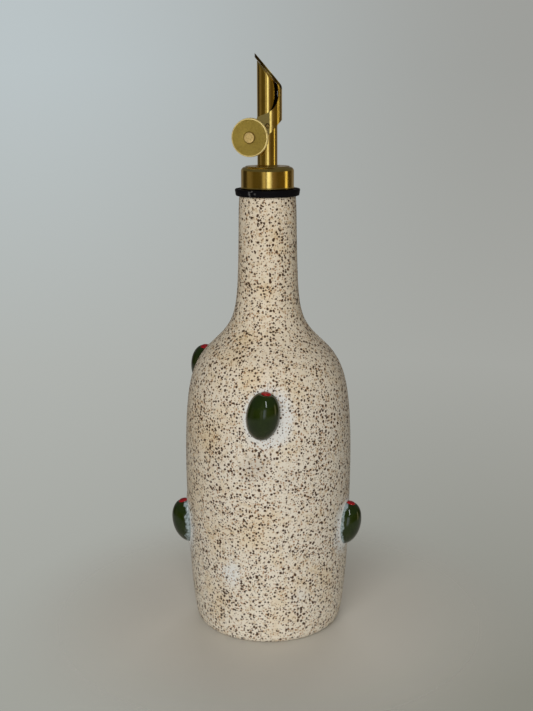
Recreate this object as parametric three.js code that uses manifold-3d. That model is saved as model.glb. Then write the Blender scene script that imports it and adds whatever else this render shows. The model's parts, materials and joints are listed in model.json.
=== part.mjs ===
// Oil dispenser bottle: a shut stoneware bottle dressed with olives, and a brass pourer with a tipping flap.
// Sizes are in millimetres. The origin is the middle of the foot, +Z is up and the front faces -Y.
import * as THREE from 'three';
import { mergeVertices } from 'three/addons/utils/BufferGeometryUtils.js';
import Module from 'manifold-3d';

// Bottle
const BOTTLE_HEIGHT = 215.3;
const FOOT_RADIUS = 32.5;
const HEEL_RADIUS = 37.2;
const HEEL_HEIGHT = 4.3;
const HEEL_LEAN = 0.19;
const HEEL_FULLNESS = 0.75;
const BELLY_RADIUS = 41.4;
const BELLY_HEIGHT = 80.7;
const SHOULDER_RADIUS = 26;
const SHOULDER_HEIGHT = 145.2;
const SHOULDER_SLOPE = 43;
const NECK_RADIUS = 13.5;
const NECK_LEAN = 0.032;
const RIM_ROUND = 0.8;

// How far the wall keeps the direction it has at each of those places
const HEEL_REACH = 20;
const BELLY_REACH_DOWN = 6;
const BELLY_REACH_UP = 48.4;
const SHOULDER_REACH_DOWN = 15;
const SHOULDER_REACH_UP = 18;
const NECK_REACH = 52.5;

// Olives
const OLIVE_RADIUS = 8.1;
const OLIVE_HALF_LENGTH = 11.9;
const OLIVE_TOP_FULLNESS = 0.8;
const OLIVE_STEPS = 9;
const OLIVE_LEAN_OUT = 0.2;
const OLIVE_GAP = 1.0015;
const PIMENTO_RADIUS = 2.5;
const PIMENTO_RISE = 0.7;
const PIMENTO_FULLNESS = 0.85;

// Where each olive sits: turn from the front towards +X in degrees, height of its middle,
// lean of its top to the right in degrees, and size against the largest
const OLIVES = [
  { name: 'olive_upper_front', turn: -3.6, height: 117.3, lean: 8, size: 1 },
  { name: 'olive_upper_left', turn: -124, height: 126.2, lean: 10, size: 1 },
  { name: 'olive_upper_back', turn: 138, height: 119, lean: -5, size: 0.98 },
  { name: 'olive_lower_left', turn: -82, height: 52.8, lean: 0, size: 0.99 },
  { name: 'olive_lower_right', turn: 69.5, height: 54.7, lean: 4, size: 0.95 },
  { name: 'olive_lower_back', turn: 176, height: 55, lean: 6, size: 0.95 },
];

// Stopper and collar
const STOPPER_RADIUS = 15.55;
const STOPPER_FOOT_RADIUS = 15.2;
const STOPPER_HEIGHT = 3.2;
const STOPPER_ROUND = 0.5;
const COLLAR_RADIUS = 12.6;
const COLLAR_HEIGHT = 10.6;
const COLLAR_ROUND = 2;
const COLLAR_BEAD_RISE = 0.25;
const COLLAR_BEAD_ROUND = 0.2;
const COLLAR_BEAD_HEIGHT = 1;
const COLLAR_LIP_HEIGHT = 0.4;
const COLLAR_LIP_INSET = 0.3;
const SOCKET_RADIUS = 5.2;
const SOCKET_DEPTH = 0.7;

// Spout tube
const TUBE_RADIUS = 4.8;
const TUBE_WALL = 0.8;
const SLANT = 49.5;
const STUD_RADIUS = 0.85;
const STUD_HEAD_RADIUS = 1.2;
const STUD_HEAD_HEIGHT = 0.5;
const STUD_CROWN_RADIUS = 0.7;
const PIVOT_HEIGHT = 247.7;

// Flap
const SHEET = 0.7;
const COVER = 1.2;
const TIP_X = -5.7;
const TIP_HEIGHT = 280.5;
const SEAT_GAP = 0.15;
const SIDE_GAP = 0.2;
const RUNNING_GAP = 0.08;
const FLAP_FRONT_CENTRE = -0.1;
const FLAP_BACK_CENTRE = 1.2;
const FLAP_CORNER = 3.6;
const FLAP_CORNER_CUTS = [8, 16, 24, 32];
const LOWER_EDGE_SLOPE = 47;
const LOWER_EDGE_X = 6.9;
const LOWER_EDGE_HEIGHT = 250.4;

// Window in each side of the flap, seen from the front, and how far its edge keeps its direction there
const WINDOW_TOP_X = 4.4;
const WINDOW_TOP_HEIGHT = 268;
const WINDOW_BACK_X = 5.4;
const WINDOW_BACK_HEIGHT = 262.4;
const WINDOW_FOOT_X = 0.6;
const WINDOW_FOOT_HEIGHT = 253.9;
const WINDOW_REACH_TOP = 2.2;
const WINDOW_REACH_DOWN = 4.6;
const WINDOW_FOOT_REACH_X = 2.6;
const WINDOW_FOOT_REACH_UP = 1.3;
const CUT_REACH = 2;

// Ears
const EAR_ROOT = 0.5;
const EAR_TOP_HEIGHT = 254;
const EAR_TOP_DROP = 1;
const EAR_BEND_X = -4.9;
const EAR_BEND_TOP = 251.4;
const EAR_BEND_FOOT = 238.5;
const EAR_END_RADIUS = 5;
const EAR_END_TURN = 63;
const EAR_INSET = 0.04;
const TOE_IN = 16;

// Counterweights
const WEIGHT_RADIUS = 8.9;
const WEIGHT_THICKNESS = 1.8;
const WEIGHT_BEVEL = 0.6;
const WEIGHT_BACK_BEVEL = 0.3;
const WEIGHT_X = -7.9;
const WEIGHT_HEIGHT = 242.4;
const RIVET_RADIUS = 2.45;
const RIVET_RISE = 0.7;
const RIVET_CROWN = 0.8;
const RIVET_TAIL_RADIUS = 2.05;
const RIVET_TAIL = 0.5;
const SHANK_RADIUS = 1.5;
const FIT_GAP = 0.05;

// Facets round each turned piece
const BOTTLE_SIDES = 64;
const OLIVE_SIDES = 22;
const COLLAR_SIDES = 44;
const TUBE_SIDES = 40;
const SMALL_SIDES = 20;

const stoneware = new THREE.MeshStandardMaterial({ color: 0xd9cdb6, roughness: 0.45, metalness: 0 });
const oliveGlaze = new THREE.MeshStandardMaterial({ color: 0x2c3a14, roughness: 0.2, metalness: 0 });
const silicone = new THREE.MeshStandardMaterial({ color: 0x14151a, roughness: 0.6, metalness: 0 });
const brass = new THREE.MeshStandardMaterial({ color: 0xc9a24a, roughness: 0.2, metalness: 1 });

const wasm = await Module();
wasm.setup();
const { Manifold, Mesh } = wasm;

const radians = THREE.MathUtils.degToRad;

// Turns a profile of (radius, height) points round the Z axis.
function turned(points, sides) {
  return new THREE.LatheGeometry(points, sides).rotateX(Math.PI / 2);
}

// Draws a flat shape in X and Z, and gives it depth along Y from `from` to `to`.
function slab(shape, from, to) {
  const settings = { depth: to - from, bevelEnabled: false, curveSegments: 10 };
  return new THREE.ExtrudeGeometry(shape, settings).rotateX(Math.PI / 2).translate(0, to, 0);
}

// A closed geometry as a solid that can be joined and cut.
function solid(geometry) {
  const bare = new THREE.BufferGeometry();
  const source = geometry.index ? geometry.toNonIndexed() : geometry;
  bare.setAttribute('position', source.getAttribute('position'));
  const merged = mergeVertices(bare, 1e-4);
  const corners = merged.index.array;
  const kept = [];
  for (let i = 0; i < corners.length; i += 3) {
    const [a, b, c] = [corners[i], corners[i + 1], corners[i + 2]];
    if (a !== b && b !== c && a !== c) {
      kept.push(a, b, c);
    }
  }
  const vertProperties = merged.getAttribute('position').array;
  return new Manifold(new Mesh({ numProp: 3, vertProperties, triVerts: new Uint32Array(kept) }));
}

// A joined or cut solid as a geometry again.
function geometryOf(body) {
  const mesh = body.getMesh();
  const geometry = new THREE.BufferGeometry();
  geometry.setAttribute('position', new THREE.BufferAttribute(new Float32Array(mesh.vertProperties), 3));
  geometry.setIndex(new THREE.BufferAttribute(new Uint32Array(mesh.triVerts), 1));
  geometry.computeVertexNormals();
  return geometry;
}

// Stands a piece turned round Z on `position`, with its Z axis along `axis`.
function placed(geometry, position, axis) {
  const turn = new THREE.Quaternion().setFromUnitVectors(new THREE.Vector3(0, 0, 1), axis);
  return geometry.applyQuaternion(turn).translate(position.x, position.y, position.z);
}

const part = new THREE.Group();
part.name = 'oil_dispenser_bottle';

function add(name, geometry, material) {
  const mesh = new THREE.Mesh(geometry, material);
  mesh.name = name;
  part.add(mesh);
}

// Bottle: foot, heel, belly, shoulder and neck in one flowing wall, solid because it is shut
function bottleProfile() {
  const along = Math.cos(radians(SHOULDER_SLOPE));
  const rise = Math.sin(radians(SHOULDER_SLOPE));
  const path = new THREE.Path();
  path.moveTo(0, 0);
  path.lineTo(FOOT_RADIUS, 0);
  path.bezierCurveTo(
    THREE.MathUtils.lerp(FOOT_RADIUS, HEEL_RADIUS, HEEL_FULLNESS), 0,
    HEEL_RADIUS - HEEL_LEAN * 0.5 * HEEL_HEIGHT, 0.5 * HEEL_HEIGHT,
    HEEL_RADIUS, HEEL_HEIGHT,
  );
  path.bezierCurveTo(
    HEEL_RADIUS + HEEL_LEAN * HEEL_REACH, HEEL_HEIGHT + HEEL_REACH,
    BELLY_RADIUS, BELLY_HEIGHT - BELLY_REACH_DOWN,
    BELLY_RADIUS, BELLY_HEIGHT,
  );
  path.bezierCurveTo(
    BELLY_RADIUS, BELLY_HEIGHT + BELLY_REACH_UP,
    SHOULDER_RADIUS + along * SHOULDER_REACH_DOWN, SHOULDER_HEIGHT - rise * SHOULDER_REACH_DOWN,
    SHOULDER_RADIUS, SHOULDER_HEIGHT,
  );
  path.bezierCurveTo(
    SHOULDER_RADIUS - along * SHOULDER_REACH_UP, SHOULDER_HEIGHT + rise * SHOULDER_REACH_UP,
    NECK_RADIUS + NECK_LEAN * NECK_REACH, BOTTLE_HEIGHT - NECK_REACH,
    NECK_RADIUS, BOTTLE_HEIGHT - RIM_ROUND,
  );
  path.quadraticCurveTo(NECK_RADIUS, BOTTLE_HEIGHT, NECK_RADIUS - RIM_ROUND, BOTTLE_HEIGHT);
  path.lineTo(0, BOTTLE_HEIGHT);
  return path.getPoints(7);
}

const wall = bottleProfile();
add('bottle', turned(wall, BOTTLE_SIDES), stoneware);

// Radius of the bottle's wall at a height above the heel
function wallRadius(height) {
  const upper = wall.findIndex((point) => point.y >= height);
  const [low, high] = [wall[upper - 1], wall[upper]];
  return THREE.MathUtils.mapLinear(height, low.y, high.y, low.x, high.x);
}

// Way up along an olive that leans out from the wall a little, on the side that `outward` looks to
function oliveUpward(height, outward) {
  const span = OLIVE_HALF_LENGTH;
  const slope = (wallRadius(height + 0.5 * span) - wallRadius(height - 0.5 * span)) / span;
  return new THREE.Vector3(0, 0, 1).addScaledVector(outward, slope + OLIVE_LEAN_OUT).normalize();
}

// Olives: egg-shaped and blunt at the top, with a domed pimento there, and cut to the bottle's wall behind
function oliveProfile() {
  const shoulder = Math.acos((PIMENTO_RADIUS / OLIVE_RADIUS) ** (1 / OLIVE_TOP_FULLNESS));
  const dimple = OLIVE_HALF_LENGTH * Math.sin(shoulder);
  const skin = [new THREE.Vector2(0, -OLIVE_HALF_LENGTH)];
  for (let step = 1; step <= OLIVE_STEPS; step += 1) {
    const angle = THREE.MathUtils.lerp(-Math.PI / 2, shoulder, step / OLIVE_STEPS);
    const fullness = angle > 0 ? OLIVE_TOP_FULLNESS : 1;
    const radius = OLIVE_RADIUS * Math.cos(angle) ** fullness;
    skin.push(new THREE.Vector2(radius, OLIVE_HALF_LENGTH * Math.sin(angle)));
  }
  const path = new THREE.Path(skin);
  path.quadraticCurveTo(PIMENTO_FULLNESS * PIMENTO_RADIUS, dimple + PIMENTO_RISE, 0, dimple + PIMENTO_RISE);
  return path.getPoints(5);
}

const wallCutter = solid(turned(wall, BOTTLE_SIDES)).scale([OLIVE_GAP, OLIVE_GAP, 1]);

for (const { name, turn, height, lean, size } of OLIVES) {
  const angle = radians(turn);
  const outward = new THREE.Vector3(Math.sin(angle), -Math.cos(angle), 0);
  const middle = outward.clone().multiplyScalar(wallRadius(height)).setZ(height);
  const upward = oliveUpward(height, outward).applyAxisAngle(outward, -radians(lean));
  const across = new THREE.Vector3().crossVectors(upward, outward).normalize();
  const inward = new THREE.Vector3().crossVectors(upward, across);
  const frame = new THREE.Matrix4().makeBasis(across, inward, upward).setPosition(middle);
  const egg = turned(oliveProfile(), OLIVE_SIDES).scale(size, size, size).applyMatrix4(frame);
  add(name, geometryOf(solid(egg).subtract(wallCutter)), oliveGlaze);
}

// Stopper: the silicone flange that lies on the neck's rim
const stopperTop = BOTTLE_HEIGHT + STOPPER_HEIGHT;
const stopperEdge = new THREE.Path();
stopperEdge.moveTo(0, BOTTLE_HEIGHT);
stopperEdge.lineTo(STOPPER_FOOT_RADIUS - STOPPER_ROUND, BOTTLE_HEIGHT);
stopperEdge.quadraticCurveTo(
  STOPPER_FOOT_RADIUS, BOTTLE_HEIGHT,
  STOPPER_FOOT_RADIUS, BOTTLE_HEIGHT + STOPPER_ROUND,
);
stopperEdge.lineTo(STOPPER_RADIUS, stopperTop - STOPPER_ROUND);
stopperEdge.quadraticCurveTo(STOPPER_RADIUS, stopperTop, STOPPER_RADIUS - STOPPER_ROUND, stopperTop);
stopperEdge.lineTo(0, stopperTop);
add('stopper', turned(stopperEdge.getPoints(3), COLLAR_SIDES), silicone);

// Collar: a brass cap with a bead at its foot, a round shoulder and a shallow socket for the tube
const collarTop = stopperTop + COLLAR_HEIGHT;
const plateauRadius = COLLAR_RADIUS - COLLAR_ROUND;
const shoulderTop = collarTop - COLLAR_LIP_HEIGHT;
const beadRadius = COLLAR_RADIUS + COLLAR_BEAD_RISE;
const collarEdge = new THREE.Path();
collarEdge.moveTo(0, stopperTop);
collarEdge.lineTo(beadRadius - COLLAR_BEAD_ROUND, stopperTop);
collarEdge.quadraticCurveTo(
  beadRadius + COLLAR_BEAD_ROUND, stopperTop + 0.4 * COLLAR_BEAD_HEIGHT,
  COLLAR_RADIUS, stopperTop + COLLAR_BEAD_HEIGHT,
);
collarEdge.lineTo(COLLAR_RADIUS, shoulderTop - COLLAR_ROUND);
collarEdge.absarc(plateauRadius, shoulderTop - COLLAR_ROUND, COLLAR_ROUND, 0, Math.PI / 2, false);
collarEdge.lineTo(plateauRadius - COLLAR_LIP_INSET, collarTop);
collarEdge.lineTo(SOCKET_RADIUS, collarTop);
collarEdge.lineTo(SOCKET_RADIUS, collarTop - SOCKET_DEPTH);
collarEdge.lineTo(0, collarTop - SOCKET_DEPTH);
add('collar', turned(collarEdge.getPoints(4), COLLAR_SIDES), brass);

// Spout tube: bored right through, cut off on the slant, with a headed pivot stud on each side
const slantUp = new THREE.Vector3(Math.sin(radians(SLANT)), 0, Math.cos(radians(SLANT)));
const slantTop = slantUp.dot(new THREE.Vector3(TIP_X, 0, TIP_HEIGHT));
const below = slantUp.clone().negate().toArray();
const tubeFoot = collarTop - SOCKET_DEPTH;
const boreRadius = TUBE_RADIUS - TUBE_WALL;
const earOutside = TUBE_RADIUS + SIDE_GAP + SHEET;
const tubeWall = [
  new THREE.Vector2(boreRadius, tubeFoot),
  new THREE.Vector2(TUBE_RADIUS, tubeFoot),
  new THREE.Vector2(TUBE_RADIUS, TIP_HEIGHT),
  new THREE.Vector2(boreRadius, TIP_HEIGHT),
  new THREE.Vector2(boreRadius, tubeFoot),
];
const studRoot = TUBE_RADIUS - 0.5 * TUBE_WALL;
const studHead = earOutside + RUNNING_GAP;
const studEdge = [
  new THREE.Vector2(0, studRoot),
  new THREE.Vector2(STUD_RADIUS, studRoot),
  new THREE.Vector2(STUD_RADIUS, studHead),
  new THREE.Vector2(STUD_HEAD_RADIUS, studHead),
  new THREE.Vector2(STUD_HEAD_RADIUS, studHead + 0.5 * STUD_HEAD_HEIGHT),
  new THREE.Vector2(STUD_CROWN_RADIUS, studHead + STUD_HEAD_HEIGHT),
  new THREE.Vector2(0, studHead + STUD_HEAD_HEIGHT),
];
const pivot = new THREE.Vector3(0, 0, PIVOT_HEIGHT);
let tube = solid(turned(tubeWall, TUBE_SIDES)).trimByPlane(below, COVER + SEAT_GAP - slantTop);
for (const side of [-1, 1]) {
  tube = tube.add(solid(placed(turned(studEdge, SMALL_SIDES), pivot, new THREE.Vector3(0, side, 0))));
}
add('spout_tube', geometryOf(tube), brass);

// Flap: one bent sheet that covers the mouth, wraps the back of the tube and holds the weights on two ears
function hood(radius, top) {
  const outline = new THREE.Shape();
  outline.absarc(FLAP_BACK_CENTRE, 0, radius, -Math.PI / 2, Math.PI / 2, false);
  outline.absarc(FLAP_FRONT_CENTRE, 0, radius, Math.PI / 2, 1.5 * Math.PI, false);
  const settings = { depth: TIP_HEIGHT - BOTTLE_HEIGHT, bevelEnabled: false, curveSegments: 12 };
  const block = solid(new THREE.ExtrudeGeometry(outline, settings).translate(0, 0, BOTTLE_HEIGHT));
  return block.trimByPlane(below, -top);
}

// Everything in front of the windows is cut away below the cover.
function frontCutter() {
  const far = 2 * TUBE_RADIUS;
  const shape = new THREE.Shape();
  shape.moveTo(-far, BOTTLE_HEIGHT);
  shape.lineTo(WINDOW_FOOT_X, BOTTLE_HEIGHT);
  shape.lineTo(WINDOW_FOOT_X, TIP_HEIGHT);
  shape.lineTo(-far, TIP_HEIGHT);
  return solid(slab(shape, -far, far)).trimByPlane(below, COVER - slantTop);
}

// Outline of the window seen from the front. It leaves the cover, a strip at the back and the wrap.
function windowOutline() {
  const path = new THREE.Path();
  const start = WINDOW_FOOT_X - EAR_ROOT;
  path.moveTo(start, WINDOW_FOOT_HEIGHT);
  path.lineTo(WINDOW_FOOT_X, WINDOW_FOOT_HEIGHT);
  path.bezierCurveTo(
    WINDOW_FOOT_X + WINDOW_FOOT_REACH_X, WINDOW_FOOT_HEIGHT + WINDOW_FOOT_REACH_UP,
    WINDOW_BACK_X, WINDOW_BACK_HEIGHT - WINDOW_REACH_DOWN,
    WINDOW_BACK_X, WINDOW_BACK_HEIGHT,
  );
  path.quadraticCurveTo(
    WINDOW_BACK_X, WINDOW_BACK_HEIGHT + WINDOW_REACH_TOP,
    WINDOW_TOP_X, WINDOW_TOP_HEIGHT,
  );
  path.lineTo(WINDOW_TOP_X, TIP_HEIGHT);
  path.lineTo(start, TIP_HEIGHT);
  return path.getPoints(10);
}

// The window's outline bent round the near side of the flap, so that its edge is cut square to the sheet
function windowCutter() {
  const flat = windowOutline().map(({ x, y }) => {
    const beyond = Math.max(x - FLAP_BACK_CENTRE, 0);
    const before = Math.min(x - FLAP_BACK_CENTRE, 0);
    return new THREE.Vector2(before + earOutside * Math.asin(beyond / earOutside), y);
  });
  const settings = { depth: 2 * CUT_REACH, bevelEnabled: false };
  const cutter = new THREE.ExtrudeGeometry(new THREE.Shape(flat), settings);
  const places = cutter.getAttribute('position');
  for (let i = 0; i < places.count; i += 1) {
    const radius = earOutside - CUT_REACH + places.getZ(i);
    const angle = Math.max(places.getX(i), 0) / earOutside;
    const x = FLAP_BACK_CENTRE + Math.min(places.getX(i), 0) + radius * Math.sin(angle);
    places.setXYZ(i, x, -radius * Math.cos(angle), places.getY(i));
  }
  return solid(cutter).trimByPlane(below, COVER - slantTop);
}

const lowerSlope = radians(LOWER_EDGE_SLOPE);
const aboveEdge = new THREE.Vector3(-Math.sin(lowerSlope), 0, Math.cos(lowerSlope));
const edgeOffset = aboveEdge.dot(new THREE.Vector3(LOWER_EDGE_X, 0, LOWER_EDGE_HEIGHT));

// The corner between the cover and the back is rounded by a few cuts.
function roundCorner(body) {
  const backX = FLAP_BACK_CENTRE + earOutside;
  const centreX = backX - FLAP_CORNER;
  const centreZ = (slantTop - FLAP_CORNER - slantUp.x * centreX) / slantUp.z;
  const centre = new THREE.Vector3(centreX, 0, centreZ);
  let rounded = body;
  for (const angle of FLAP_CORNER_CUTS) {
    const outward = new THREE.Vector3(Math.cos(radians(angle)), 0, Math.sin(radians(angle)));
    const offset = outward.dot(centre) + FLAP_CORNER;
    rounded = rounded.trimByPlane(outward.negate().toArray(), -offset);
  }
  return rounded;
}

// Ear on the near side: flat beside the tube, then toed in to carry its weight.
// It is a little thinner than the wrap that it grows out of, and starts inside that.
const toeIn = radians(TOE_IN);
const weightReach = (EAR_BEND_X - WEIGHT_X) / Math.cos(toeIn);
const earFace = earOutside - EAR_INSET;
const toedFace = earFace - EAR_INSET;
const earSheet = SHEET - 2 * EAR_INSET;

function ear() {
  const rootX = FLAP_BACK_CENTRE + EAR_ROOT;
  const rootFoot = (edgeOffset - aboveEdge.x * rootX) / aboveEdge.z + 3 * EAR_INSET;
  const flat = new THREE.Shape();
  flat.moveTo(rootX, rootFoot);
  flat.lineTo(rootX, EAR_TOP_HEIGHT);
  flat.quadraticCurveTo(0.5 * EAR_BEND_X, EAR_TOP_HEIGHT - EAR_TOP_DROP, EAR_BEND_X, EAR_BEND_TOP);
  flat.lineTo(EAR_BEND_X, EAR_BEND_FOOT);
  flat.closePath();
  const bent = new THREE.Shape();
  const endTurn = radians(EAR_END_TURN);
  bent.moveTo(2 * EAR_INSET, EAR_BEND_FOOT + 3 * EAR_INSET);
  bent.lineTo(2 * EAR_INSET, EAR_BEND_TOP - 3 * EAR_INSET);
  bent.absarc(-weightReach, WEIGHT_HEIGHT, EAR_END_RADIUS, endTurn, 2 * Math.PI - endTurn, false);
  bent.closePath();
  const toed = slab(bent, 0, earSheet).rotateZ(-toeIn).translate(EAR_BEND_X, -toedFace, 0);
  return solid(slab(flat, -earFace, earSheet - earFace)).add(solid(toed));
}

// Where the weights hang: the middle of the toed-in end's outer face, and the way that face looks
function weightSeat(side) {
  const middle = toedFace - weightReach * Math.sin(toeIn);
  const position = new THREE.Vector3(WEIGHT_X, side * middle, WEIGHT_HEIGHT);
  const outward = new THREE.Vector3(-Math.sin(toeIn), side * Math.cos(toeIn), 0);
  return { position, outward };
}

function drill(radius) {
  const reach = 2 * TUBE_RADIUS;
  return new THREE.CylinderGeometry(radius, radius, reach, SMALL_SIDES).rotateX(Math.PI / 2);
}

const across = [0, 1, 0];
let flap = hood(earOutside, slantTop).subtract(hood(earOutside - SHEET, slantTop - COVER));
flap = roundCorner(flap).trimByPlane(aboveEdge.toArray(), edgeOffset);
flap = flap.subtract(frontCutter()).subtract(windowCutter()).subtract(windowCutter().mirror(across));
flap = flap.add(ear()).add(ear().mirror(across));
for (const side of [-1, 1]) {
  const { position, outward } = weightSeat(side);
  const sideways = new THREE.Vector3(0, side, 0);
  const beside = pivot.clone().addScaledVector(sideways, earOutside);
  flap = flap.subtract(solid(placed(drill(STUD_RADIUS + RUNNING_GAP), beside, sideways)));
  flap = flap.subtract(solid(placed(drill(SHANK_RADIUS + FIT_GAP), position, outward)));
}
add('flap', geometryOf(flap), brass);

// Weights: two bevelled discs, each held on its ear by a headed rivet
const weightBore = SHANK_RADIUS + FIT_GAP;
const weightTop = FIT_GAP + WEIGHT_THICKNESS;
const weightEdge = [
  new THREE.Vector2(weightBore, FIT_GAP),
  new THREE.Vector2(WEIGHT_RADIUS - WEIGHT_BACK_BEVEL, FIT_GAP),
  new THREE.Vector2(WEIGHT_RADIUS, FIT_GAP + WEIGHT_BACK_BEVEL),
  new THREE.Vector2(WEIGHT_RADIUS, weightTop - WEIGHT_BEVEL),
  new THREE.Vector2(WEIGHT_RADIUS - WEIGHT_BEVEL, weightTop),
  new THREE.Vector2(weightBore, weightTop),
  new THREE.Vector2(weightBore, FIT_GAP),
];
const headFoot = weightTop + FIT_GAP;
const tailTop = -SHEET - FIT_GAP;
const rivetEdge = [
  new THREE.Vector2(0, tailTop - RIVET_TAIL),
  new THREE.Vector2(RIVET_TAIL_RADIUS, tailTop - RIVET_TAIL),
  new THREE.Vector2(RIVET_TAIL_RADIUS, tailTop),
  new THREE.Vector2(SHANK_RADIUS, tailTop),
  new THREE.Vector2(SHANK_RADIUS, headFoot),
  new THREE.Vector2(RIVET_RADIUS, headFoot),
  new THREE.Vector2(RIVET_RADIUS, headFoot + 0.5 * RIVET_RISE),
  new THREE.Vector2(RIVET_CROWN * RIVET_RADIUS, headFoot + RIVET_RISE),
  new THREE.Vector2(0, headFoot + RIVET_RISE),
];
for (const [end, side] of [['front', -1], ['back', 1]]) {
  const { position, outward } = weightSeat(side);
  add(`weight_${end}`, placed(turned(weightEdge, TUBE_SIDES), position, outward), brass);
  add(`weight_rivet_${end}`, placed(turned(rivetEdge, SMALL_SIDES), position, outward), brass);
}

export default part;
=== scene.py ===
import json
import math

import bpy
import numpy as np
from mathutils import Matrix, Vector, noise


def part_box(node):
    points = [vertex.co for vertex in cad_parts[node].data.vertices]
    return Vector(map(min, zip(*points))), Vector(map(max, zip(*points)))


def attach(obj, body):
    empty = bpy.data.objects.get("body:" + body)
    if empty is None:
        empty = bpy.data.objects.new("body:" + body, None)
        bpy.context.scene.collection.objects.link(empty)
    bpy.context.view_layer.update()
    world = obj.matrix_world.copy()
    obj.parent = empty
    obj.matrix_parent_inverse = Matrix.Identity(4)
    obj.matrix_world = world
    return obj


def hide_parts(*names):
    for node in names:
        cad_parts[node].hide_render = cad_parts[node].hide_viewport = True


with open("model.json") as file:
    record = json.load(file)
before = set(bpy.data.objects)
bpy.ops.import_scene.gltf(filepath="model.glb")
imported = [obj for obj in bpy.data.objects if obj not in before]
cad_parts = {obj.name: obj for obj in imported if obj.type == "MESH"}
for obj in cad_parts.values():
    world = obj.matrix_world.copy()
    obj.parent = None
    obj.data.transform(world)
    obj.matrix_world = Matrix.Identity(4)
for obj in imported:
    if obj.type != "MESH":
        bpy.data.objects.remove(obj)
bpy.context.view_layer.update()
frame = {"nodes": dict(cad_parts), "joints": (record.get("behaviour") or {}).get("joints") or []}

# The bottle
# One shut stoneware bottle thrown on the wheel, with a round heel, a full belly and a long neck.
# Its cream glaze is full of dark iron specks, and only the flat of the foot is left bare.
MM = 0.001
WALL_STEPS = 230
WALL_SIDES = 384
FOOT_RINGS = (0.15, 0.4, 0.65, 0.85, 0.96)
RIM_RINGS = (0.8, 0.4)
TRUE_RIM = 2 * MM
THROWN_UNEVENNESS = 0.16 * MM
SWAYS_PER_METRE = 22
THROWING_RIDGE = 0.035 * MM
THROWING_PITCH = 5.2 * MM
RIDGE_WANDER = 4
BARE_CLAY = (0.42, 0.33, 0.22, 1)
CREAM_GLAZE = (0.71, 0.665, 0.57, 1)
OCHRE_GLAZE = (0.64, 0.51, 0.31, 1)
MILK_GLAZE = (0.68, 0.69, 0.67, 1)
SMOKE_GLAZE = (0.40, 0.37, 0.32, 1)
SEAM_WHITE = (0.80, 0.81, 0.80, 1)
IRON_SPECK = (0.036, 0.011, 0.001, 1)
RUST_SPECK = (0.26, 0.11, 0.02, 1)
TAN_SPECK = (0.47, 0.34, 0.18, 1)

# Layers of specks from the lowest up: their colour and strength, in millimetres how far apart they
# are and their smallest and largest radius, and how soft their edges are
SPECK_LAYERS = [
    (TAN_SPECK, 0.45, 2.1, 0.2, 1.05, 0.5),
    (RUST_SPECK, 0.75, 1.2, 0.05, 0.54, 0.3),
    (IRON_SPECK, 0.8, 0.95, 0.03, 0.34, 0.3),
    (IRON_SPECK, 0.95, 1.44, 0.2, 0.71, 0.05),
]
LEAST_SPECK = 0.001
SPECK_SHAKE_SIZE = 0.9 * MM
SPECK_SHAKE = 0.6 * MM
CROWD_SIZE = 9 * MM
CROWD = (0.86, 1.08)
SPECKS_UNDER_MILK = 0.76
OCHRE_CLOUD_SIZE = 16 * MM
OCHRE_CLOUD = 0.45
WARM_FROM = 105 * MM
WARM_TO = 150 * MM
WARM_TOP = 0.3
MOTTLE_SIZE = 2.4 * MM
MOTTLE = 0.2
GLAZE_LINE = (0.1 * MM, 0.45 * MM)
GLAZE_SATIN = (0.36, 0.5)
SATIN_SIZE = 5 * MM
SPECK_DULLNESS = 0.6
CLAY_DULLNESS = 0.85
PIT_SIZE = 3.2 * MM
SPECK_PIT = 0.35
GLAZE_RELIEF = 0.12 * MM

# Patches where the glaze ran thick, thin or sooty: turn from the front in degrees, height and reach
# in millimetres, and strength. The broad ochre patches on the left are partly painted warm light.
PATCHES = {
    "milk": [(-26.7, 38, 6, 1.0), (22, 26, 4, 0.4), (150, 90, 6, 0.6), (-150, 40, 5, 0.6)],
    "smoke": [(-8.7, 92.8, 7, 0.5), (12, 88, 5, 0.2), (120, 70, 7, 0.4), (-170, 120, 6, 0.4)],
    "ochre_and_warm_light": [
        (-44, 104, 9, 0.6),
        (-11, 58, 8, 0.45),
        (-14, 134, 7, 0.6),
        (20, 130, 7, 0.4),
        (-34, 143, 10, 0.55),
        # These three broad patches on the left are partly painted warm light on that side and the shoulder
        (-62, 108, 20, 0.4),
        (-66, 76, 16, 0.35),
        (-60, 175, 14, 0.4),
        (130, 110, 16, 0.5),
        (-140, 80, 16, 0.4),
    ],
}
PATCH_FILL = 1.4
PATCH_FRAY = 2.5
FRAYS_PER_METRE = 150


def turned_rings(node):
    """Radius and height of each ring of a turned node on the bottle's own axis, from the foot up."""
    corners = frame["nodes"][node].data.vertices
    rings = {(round(math.hypot(v.co.x, v.co.y), 6), round(v.co.z, 6)) for v in corners}
    low = min(height for _, height in rings)
    return sorted(rings, key=lambda ring: (ring[1], ring[0] if ring[1] == low else -ring[0]))


def through_points(points, steps):
    """Evenly spaced points on a smooth curve that passes through the given points."""
    points = np.array(points, float)
    lengths = np.r_[0, np.cumsum(np.linalg.norm(np.diff(points, axis=0), axis=1))]
    slopes = np.gradient(points, lengths, axis=0)
    places = np.linspace(0, lengths[-1], steps)
    low = np.clip(np.searchsorted(lengths, places) - 1, 0, len(points) - 2)
    span = lengths[low + 1] - lengths[low]
    t = ((places - lengths[low]) / span)[:, None]
    span = span[:, None]
    start = (1 + 2 * t) * (1 - t) ** 2 * points[low] + t * (1 - t) ** 2 * span * slopes[low]
    end = t * t * (3 - 2 * t) * points[low + 1] + t * t * (t - 1) * span * slopes[low + 1]
    return start + end


def new_piece(name, corners, faces):
    """A smooth-shaded mesh object of the given corners and faces."""
    mesh = bpy.data.meshes.new(name)
    mesh.from_pydata([tuple(corner) for corner in corners], [], faces)
    mesh.validate()
    mesh.shade_smooth()
    piece = bpy.data.objects.new(name, mesh)
    bpy.context.scene.collection.objects.link(piece)
    return piece


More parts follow.
